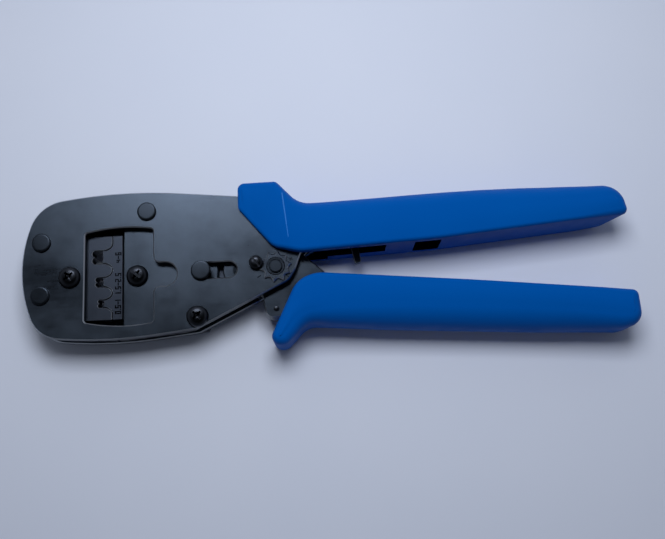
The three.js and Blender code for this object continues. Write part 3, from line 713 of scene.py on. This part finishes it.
# %% Handle plates
CRANK = 13.7
HEEL = spot("heel_rivet")
HANDLE_OUTLINE = rounded([
    (-CRANK - EYE_R, -EYE_R, EYE_R - 0.1), (-CRANK + 1.2, -EYE_R, 1), (-5.6, -9.4, 3),
    (HEEL[0] - 3.6, HEEL[1] - 3.4, 2.9), (10, -18, 8), (99, -24.2, 2.5), (99, -17, 2.5),
    (24.5, -8.4, 6), (10.9, 4.1, 1.6), (5.5, 5.5, 3), (2.5, 10, 3), (-7.6, 11, 2.7),
    (-8.6, 6.2, 1.5), (-CRANK - EYE_R, EYE_R, EYE_R - 0.1),
])
HANDLE_PLATES = {"handle_cover": "handle_front_plate", "handle_backing": "handle_back_plate"}
for name, node in HANDLE_PLATES.items():
    steel = solid(
        name, slab(HANDLE_OUTLINE, [], layer(node), PLATE_EDGE), PLATE_STEEL, WORN_EDGE_AND_HIGHLIGHT)
    place(steel, "handle", PLATE, node)

TEETH, ROOT, TIP, FIRST, LAST = 8, 13.7, 15.0, 29, 61
pitch = (LAST - FIRST) / TEETH


def polar(radius, degrees):
    return radius * math.cos(math.radians(degrees)), radius * math.sin(math.radians(degrees))


teeth = [p for i in range(TEETH) for p in (
    polar(ROOT, LAST - i * pitch), polar(TIP, LAST - (i + 0.5) * pitch))]
ratchet = solid("ratchet_sector", slab([
    *arc((0, 0), 8, 216, LAST + 4), *teeth, polar(ROOT, FIRST), polar(11.6, FIRST - 4),
    (10.6, 3.9), (24, -8.2), (98.6, -17.2), (98.6, -23.9), (8, -17.8),
    *arc(HEEL, 2.7, -90, -180)], [], layer("ratchet_plate"), 0.12), DIE_STEEL, WORN_EDGE_AND_HIGHLIGHT)
place(ratchet, "handle", GROUND, "ratchet_plate")

low, high = layer("heel_rivet")
heel = solid("heel_pin", turned(HEEL, [
    (0, high + 0.12), (0.75, high + 0.12), (1.05, high), (1.2, high - 0.12), (1.2, low + 0.12),
    (1.05, low), (0.75, low - 0.12), (0, low - 0.12)], 40), SCREW_STEEL)
place(heel, "handle", FASTENER, "heel_rivet")

# %% [markdown]
# ## Pivot, adjuster wheel and lock screw
# The handle turns on an eccentric pin. A wheel with ten scalloped teeth turns the pin to trim
# the crimp, and the slotted screw beside it keeps the wheel from turning.

# %% Pivot and adjuster
low, high = layer("handle_pivot_pin")
wheel_low, wheel_high = layer("adjuster_wheel")
pivot = solid("eccentric_pin", turned((0, 0), [
    (0, high), (2.05, high), (2.4, high - 0.25), (2.4, wheel_high - 0.25),
    (2.75, wheel_high - 0.25), (2.75, wheel_high), (3.08, wheel_high), (3.08, wheel_low),
    (4.0, wheel_low - 0.25), (4.0, low + 1.2), (5.4, low + 1.2), (5.4, low + 0.3), (5.1, low),
    (2.2, low), (1.9, low + 0.3), (0, low + 0.3)]), RIVET_STEEL)
place(pivot, "frame", FASTENER, "handle_pivot_pin")

WHEEL_TEETH, WHEEL_TIP, WHEEL_ROOT, WHEEL_PHASE = 10, 6.0, 4.6, 44.5
PER_SCALLOP = 10
scallops = []
for i in range(WHEEL_TEETH):
    for k in range(PER_SCALLOP):
        reach = WHEEL_ROOT + (WHEEL_TIP - WHEEL_ROOT) * (2 * k / PER_SCALLOP - 1) ** 2
        scallops.append(polar(reach, WHEEL_PHASE + (i + k / PER_SCALLOP) * 360 / WHEEL_TEETH))
wheel = solid("scalloped_wheel", slab(
    scallops, [arc((0, 0), 3.12, 0, 360)[:-1]], (wheel_low, wheel_high), 0.34),
    PLATE_STEEL, WORN_EDGE_AND_HIGHLIGHT)
place(wheel, "frame", PLATE, "adjuster_wheel")

low, high = layer("lock_screw")
lock_at = spot("lock_screw")
lock = solid("slotted_lock_screw", turned(lock_at, [
    (0, high), (1.0, high - 0.02), (1.7, high - 0.12), (2.2, high - 0.38), (2.45, high - 0.7),
    (2.45, high - 1.1), (1.1, high - 1.1), (1.1, low), (0, low)], 48), SCREW_STEEL)
carve(lock, block((*lock_at, high), (6, 0.65, 1.1), -math.pi / 3.4))
place(lock, "frame", FASTENER, "lock_screw")

# %% [markdown]
# ## Pawl
# The pawl is one stamped layer in the upper grip. Its short arm looks at the ratchet teeth and
# its long one is the release tab that a fingertip can reach between the grips.

# %% Pawl and toggle link
px, py = spot("pawl_pin")
nose = polar(TIP + 0.4, 25)
pawl = solid("release_pawl", slab(rounded([
    (nose[0], nose[1], 0.3), (nose[0] + 2.4, nose[1] + 0.4, 0.6), (px - 2.8, py - 4.9, 1.5),
    (px + 3.2, py - 4.4, 1.5), (28, 7.2, 1), (29.3, 0.6, 0.7), (31.7, 1.2, 0.7),
    (30.7, 8.4, 1.5), (px + 4.2, py - 0.5, 2), (px + 1.5, py + 4, 3), (px - 3.6, py + 2.4, 3),
]), [], layer("pawl"), 0.25, 2), DIE_STEEL, WORN_EDGE_AND_HIGHLIGHT)
place(pawl, "pawl", GROUND, "pawl")

link = solid("toggle_link_bar", slab(
    arc((-CRANK, 0), 5, -90, 90) + arc((-2 * CRANK, 0), 5, 90, 270), [],
    layer("toggle_link"), 0.3), DIE_STEEL, WORN_EDGE_AND_HIGHLIGHT)
place(link, "link", GROUND, "toggle_link")

# %% [markdown]
# ## Springs
# The return spring is a close coil with a loop at each end: one loop on the handle's ear, the
# other on a post in the frame. It crosses the handle joint. The pawl's torsion spring is three
# turns round the pawl's pin.

# %% Coil springs
def wire(name, path, gauge, finish):
    """A round wire along a path in millimetres, as a mesh."""
    curve = bpy.data.curves.new(name, "CURVE")
    curve.dimensions, curve.bevel_depth, curve.bevel_resolution = "3D", gauge / 2 * MM, 3
    curve.use_fill_caps = True
    run = curve.splines.new("POLY")
    run.points.add(len(path) - 1)
    for point, at in zip(run.points, path):
        point.co = (*(TO_ROW @ Vector(at)), 1)
    holder = bpy.data.objects.new(name, curve)
    bpy.context.scene.collection.objects.link(holder)
    ready = holder.evaluated_get(bpy.context.evaluated_depsgraph_get())
    mesh = bpy.data.meshes.new_from_object(ready)
    bpy.data.objects.remove(holder)
    mesh.materials.clear()
    mesh.materials.append(finish)
    mesh.shade_smooth()
    made = bpy.data.objects.new(name, mesh)
    bpy.context.scene.collection.objects.link(made)
    return made


start, end = Vector((*spot("spring_pin"), 10)), Vector((*spot("spring_post"), 10))
along = (end - start).normalized()
side, up = Vector((-along.y, along.x, 0)), Vector((0, 0, 1))
COIL_R, GAUGE, LOOP_R, TURNS, PER_TURN = 1.85, 0.6, 1.45, 15, 16
coil_start, coil_end = start + along * 4.7, end - along * 2.3
loop = []
for i in range(13):
    a = math.radians(200 - 250 * i / 12)
    loop.append(along * LOOP_R * math.cos(a) + side * LOOP_R * math.sin(a))
path = [start + reach for reach in loop]
for i in range(TURNS * PER_TURN + 1):
    a, share = 2 * math.pi * i / PER_TURN, i / (TURNS * PER_TURN)
    middle = coil_start.lerp(coil_end, share)
    path.append(middle + side * COIL_R * math.cos(a) + up * COIL_R * math.sin(a))
path += [end - reach for reach in reversed(loop)]
return_spring = wire("return_coil", path, GAUGE, SPRING_STEEL)
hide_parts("return_spring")
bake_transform(return_spring)

TORSION_R, TORSION_GAUGE, TORSION_TURNS = 2.75, 0.5, 3
spring_low, spring_high = layer("pawl_spring")
climb = (spring_high - spring_low - TORSION_GAUGE) / TORSION_TURNS
torsion = wire("pawl_torsion_coil", [
    (px + TORSION_R * math.cos(a), py + TORSION_R * math.sin(a),
     spring_low + TORSION_GAUGE / 2 + climb * a / 2 / math.pi)
    for a in (2 * math.pi * i / 20 for i in range(20 * TORSION_TURNS + 1))],
    TORSION_GAUGE, SPRING_STEEL)
place(torsion, "frame", WIRE, "pawl_spring")

# %% [markdown]
# ## Grips
# Each grip is a moulding with a nearly square inner side and an outer side rolled over for the
# palm. A plain bevel can't do both, so the edge is built as rings of points whose
# depth follows the fourth number of each corner. The flat of the grip is a grid between its
# two long sides, which lets the surface be crowned, creased and tapered without a seam.

# %% The grip maker
RING_STEPS, LENGTHS, WIDTHS, WALL_ROWS = 9, 190, 14, 5


def even(chain, count):
    """count + 1 points spaced evenly along a chain of (x, y, edge)."""
    marks = [0.0]
    for a, b in zip(chain, chain[1:]):
        marks.append(marks[-1] + math.dist(a[:2], b[:2]))
    made, k = [], 0
    for i in range(count + 1):
        want = marks[-1] * i / count
        while k < len(marks) - 2 and marks[k + 1] < want:
            k += 1
        share = (want - marks[k]) / max(1e-9, marks[k + 1] - marks[k])
        made.append(tuple(a + (b - a) * share for a, b in zip(chain[k], chain[k + 1])))
    return made


def smooth_edges(loop, reach=22):
    """Eases the edge depth from one corner's value to the next."""
    n = len(loop)
    eased = [sum(loop[(i + k) % n][2] for k in range(-reach, reach + 1)) / (2 * reach + 1)
             for i in range(n)]
    return [(x, y, e) for (x, y, _), e in zip(loop, eased)]


def moulding(corners, left, right, thickness, reshape):
    """A grip between z 0 and thickness. left and right are its two ends' middles."""
    loop = tidy(rounded(corners))
    spots = [min(range(len(loop)), key=lambda i: math.dist(loop[i][:2], end))
             for end in (left, right)]
    loop = loop[spots[0]:] + loop[:spots[0]]
    turn_at = (spots[1] - spots[0]) % len(loop)
    lower = even(loop[:turn_at + 1], LENGTHS)
    upper = even(loop[turn_at:] + loop[:1], LENGTHS)
    loop = smooth_edges(lower + upper[1:-1])
    steps_in = inward(loop)
    n = len(loop)
    side_of = [0.0 if i <= LENGTHS else 1.0 for i in range(n)]
    bm = bmesh.new()

    def ring(angle, top):
        made = []
        for (x, y, depth), s, v in zip(loop, steps_in, side_of):
            inset = depth * (1 - math.cos(angle))
            drop = min(depth * 1.15, thickness / 2 - 0.4) * (1 - math.sin(angle))
            z = thickness - drop if top else drop
            made.append(bm.verts.new(reshape(x + s.x * inset, y + s.y * inset, z, v)))
        return made

    quarter = [math.pi / 2 * k / RING_STEPS for k in range(RING_STEPS + 1)]
    rows = [ring(a, False) for a in reversed(quarter)]
    low_row, high_row = rows[-1], ring(0, True)
    for k in range(1, WALL_ROWS):
        rows.append([bm.verts.new(a.co.lerp(b.co, k / WALL_ROWS))
                     for a, b in zip(low_row, high_row)])
    rows.append(high_row)
    rows += [ring(a, True) for a in quarter[1:]]
    for a, b in zip(rows, rows[1:]):
        for i in range(n):
            j = (i + 1) % n
            bm.faces.new((a[i], a[j], b[j], b[i]))

    for rim, z in ((rows[0], 0.0), (rows[-1], thickness)):
        lines = [[rim[0]]]
        for i in range(1, LENGTHS):
            p, q = rim[i].co, rim[n - i].co
            inner = []
            for k in range(1, WIDTHS):
                v = k / WIDTHS
                x, y = p.x + (q.x - p.x) * v, p.y + (q.y - p.y) * v
                inner.append(bm.verts.new(reshape(x, y, z, v)))
            lines.append([rim[i], *inner, rim[n - i]])
        lines.append([rim[LENGTHS]])
        for a, b in zip(lines, lines[1:]):
            for k in range(WIDTHS):
                corners_of = [a[min(k, len(a) - 1)], a[min(k + 1, len(a) - 1)],
                              b[min(k + 1, len(b) - 1)], b[min(k, len(b) - 1)]]
                bm.faces.new(list(dict.fromkeys(corners_of)))
    return bm


def soften(distance, width):
    """0 below zero and distance above it, with the corner rounded over width."""
    return width * math.log1p(math.exp(min(60, distance / width)))


print("grip grid:", LENGTHS, "by", WIDTHS)

# %% [markdown]
# The upper grip is hollow: its cheeks cover the frame tangs, and its head end is a guard whose
# face leans down towards the head from a crease. Two windows open its inner wall, one for the
# pawl. Its far end is undercut, so that it sweeps up towards the tip.

# %% Upper grip
THICK = layer("upper_grip")[1]
CHEEK, CROWN, LEAN, UNDERCUT, UNDERCUT_FROM, UNDERCUT_RUN = 3.7, 0.35, 0.16, 7, 110, 21.6


def crease_at(y):
    return 5.4 - (y - 9.1) * 0.098


def shape_upper(x, y, z, v):
    side = (z - THICK / 2) / (THICK / 2)
    lean = LEAN * soften(crease_at(y) - x, 0.2)
    crown = CROWN * (2 * v - 1) ** 2
    sweep = max(0.0, min(1.0, (x - UNDERCUT_FROM) / UNDERCUT_RUN)) ** 2
    undercut = UNDERCUT * sweep * (1 - z / THICK) ** 1.5
    return x - undercut, y, z - side * abs(side) * (lean + crown)


upper = solid("upper_grip_moulding", moulding([
    (-13.1, 32.5, 2.6, 1.6), (-13.1, 22.6, 2, 1.3), (-0.6, 7.2, 7, 1.4), (9, 4.6, 14, 1.5),
    (60, 6.7, 200, 1.4), (131.4, 12.6, 2.2, 1.4), (130, 24.4, 8.3, 4.5), (85, 27, 690, 7),
    (9.6, 23.75, 9, 5.5), (1.3, 32.6, 1.8, 2.2)],
    (-13.1, 27.6), (130.7, 18.5), THICK, shape_upper), GRIP_PLASTIC)
inside = (CHEEK, THICK - CHEEK)
pawl_window = (7.4, inside[1])
# The walls of the cavity and of the windows are painted near black as shade.
carve(
    upper,
    slab(rounded([
        (-16, 28.6, 0), (-6, 27.7, 3), (2.7, 26.5, 3), (13.2, 19.9, 6), (101.5, 21.3, 2),
        (101.5, 12.1, 2), (19.2, 9, 0), (19.2, 2, 0), (-16, 2, 0)]), [], inside, 0.05),
    block((29.75, 7, sum(pawl_window) / 2), (22.5, 9, pawl_window[1] - pawl_window[0])),
    block((56.6, 7, THICK / 2), (9.8, 9, inside[1] - inside[0])),
    inside=GRIP_PAINTED_SHADE,
)
place(upper, "frame", GRIP, "upper_grip")

# The crease itself is a fine bead, coloured a paler blue as a painted highlight. It lies on the
# crowned face.
bead = wire("crease_bead", [
    (crease_at(y) - 0.1, y, THICK - 0.2 - CROWN * ((y - 18) / 12) ** 2) for y in range(10, 28)],
    0.5, GRIP_PAINTED_HIGHLIGHT)
place(bead, "frame", GRIP)

# %% [markdown]
# The lower grip is moulded over the handle's steel. Its front end flares down into a stop for
# the fingers, and its outer side is rolled over far more than its inner one.

# %% Lower grip
def shape_lower(x, y, z, v):
    side = (z - THICK / 2) / (THICK / 2)
    crown = CROWN * (2 * v - 1) ** 2
    return x, y, z - side * abs(side) * crown


lower = solid("lower_grip_moulding", moulding([
    (14, -3.2, 14, 1.8), (7.2, -6.3, 10, 2), (-3.4, -27.6, 3, 2.1), (2.2, -29.8, 4, 2.3),
    (10.6, -21.3, 7, 4.6), (40, -24.6, 250, 8.5), (95, -28.6, 250, 8.5), (124.5, -29.6, 6, 5),
    (131.2, -28, 5, 3.8), (130.5, -16.1, 2.4, 1.6), (70, -9.1, 900, 1.5)],
    (-1.5, -28.4), (130.9, -22), THICK, shape_lower), GRIP_PLASTIC)
# The cavity's walls are painted near black as shade.
carve(lower, slab(rounded([
    (-10, -18.6, 0), (8, -18.6, 6), (99.5, -24.8, 2.5), (99.5, -16.5, 2.5), (24.5, -7.9, 5),
    (17, -0.5, 0), (-10, 4, 0)]), [], (6.45, 13.55), 0.05), inside=GRIP_PAINTED_SHADE)
place(lower, "handle", GRIP, "lower_grip")

# %% [markdown]
# ## Pieces kept from the solids
# Spacers, pins and posts between the plates are already the right shape, and hardly show. They
# keep their solids and take an oiled steel finish.

# %% Finishes for the pieces inside
for name, solid_piece in frame["nodes"].items():
    if solid_piece.hide_render:
        continue
    solid_piece.data.materials.clear()
    solid_piece.data.materials.append(INNER_STEEL)
    print("kept:", name)

# %% [markdown]
# ## Floor
# The floor is one pale matt sheet, slightly blue, with a faint drift in its tone so that it
# isn't a dead flat colour. It reaches far enough to fill the view from any side.

# %% Floor
floor_finish, tree = bare_material("pale_matt_sheet")
spread = put(tree, "ShaderNodeTexCoord").outputs["Object"]
drift = put(tree, "ShaderNodeTexNoise", [
    ("Vector", spread), ("Scale", per_mm(60)), ("Detail", 3.0)])
tone = put(tree, "ShaderNodeMix", [
    (0, drift.outputs[0]), (6, linear("#CCD5E8")), (7, linear("#D2DAEB"))], data_type="RGBA")
shader = put(tree, "ShaderNodeBsdfPrincipled", [
    ("Base Color", tone.outputs[2]), ("Roughness", 0.75)])
put(tree, "ShaderNodeOutputMaterial", [("Surface", shader.outputs[0])])

FLOOR_HALF = 1500
bm = bmesh.new()
bmesh.ops.create_grid(bm, x_segments=8, y_segments=8, size=FLOOR_HALF)
floor = solid("floor_sheet", bm, floor_finish)
print("floor half width, mm:", FLOOR_HALF)

# %% [markdown]
# ## Light
# The main light is a lamp of 21 by 17 cm, 36 cm above the fixed grip's side: near enough that
# the floor fades towards the bottom, and large enough to soften the shade's edges. The black
# plates show mostly what they reflect, so most of the lamp is kept out of reflections, and a
# card that is seen only in reflections brightens the tops of the plates. The room adds a
# little from all sides: it is dim overhead and pale lower down, so the flat plates stay dark,
# and darker on the near side, where a person would stand.

# %% Light
def softbox(name, at, aim, size, watts, colour):
    """A flat lamp at a place in metres, turned towards another."""
    lamp = bpy.data.lights.new(name, "AREA")
    lamp.shape, lamp.size, lamp.size_y = "RECTANGLE", size[0], size[1]
    lamp.energy = watts
    lamp.color = linear(colour)[:3]
    holder = bpy.data.objects.new(name, lamp)
    bpy.context.scene.collection.objects.link(holder)
    holder.location = at
    holder.rotation_mode = "QUATERNION"
    holder.rotation_quaternion = (Vector(aim) - Vector(at)).to_track_quat("-Z", "Y")
    return holder


LAMP_AT, LAMP_AIM, LAMP_SIZE = (0.0, 0.115, 0.36), (0.0, 0.07, 0), (0.21, 0.17)
softbox("near_lamp", LAMP_AT, LAMP_AIM, LAMP_SIZE, 1.13, "#FBFCFF").visible_glossy = False
softbox("near_lamp_sheen", LAMP_AT, LAMP_AIM, LAMP_SIZE, 0.035, "#FBFCFF")
CARD_AT, CARD_AIM, CARD_SIZE = (-0.09, 0.235, 0.396), (-0.04, 0.05, 0), (0.2, 0.1)
softbox("back_card", CARD_AT, CARD_AIM, CARD_SIZE, 0.78, "#F4F7FF").visible_diffuse = False

world = bpy.data.worlds.new("dim_above_pale_walls")
world.use_nodes = True
tree = world.node_tree
tree.nodes.clear()
sky = put(tree, "ShaderNodeTexCoord").outputs["Generated"]
split = put(tree, "ShaderNodeSeparateXYZ", [("Vector", sky)])
walls = put(tree, "ShaderNodeMapRange", [
    ("Value", split.outputs["Z"]), ("From Min", 0.6), ("From Max", 0.8),
    ("To Min", 0.45), ("To Max", 0.01)])
person = put(tree, "ShaderNodeMapRange", [
    ("Value", split.outputs["Y"]), ("From Min", -1), ("From Max", 1),
    ("To Min", 0.25), ("To Max", 1.4)])
glow = put(tree, "ShaderNodeMath", [
    (0, walls.outputs[0]), (1, person.outputs[0])], operation="MULTIPLY")
room = put(tree, "ShaderNodeBackground", [
    ("Color", linear("#E4E9F5")), ("Strength", glow.outputs[0])])
put(tree, "ShaderNodeOutputWorld", [("Surface", room.outputs[0])])
bpy.context.scene.world = world
bpy.context.scene.view_settings.view_transform = "Standard"
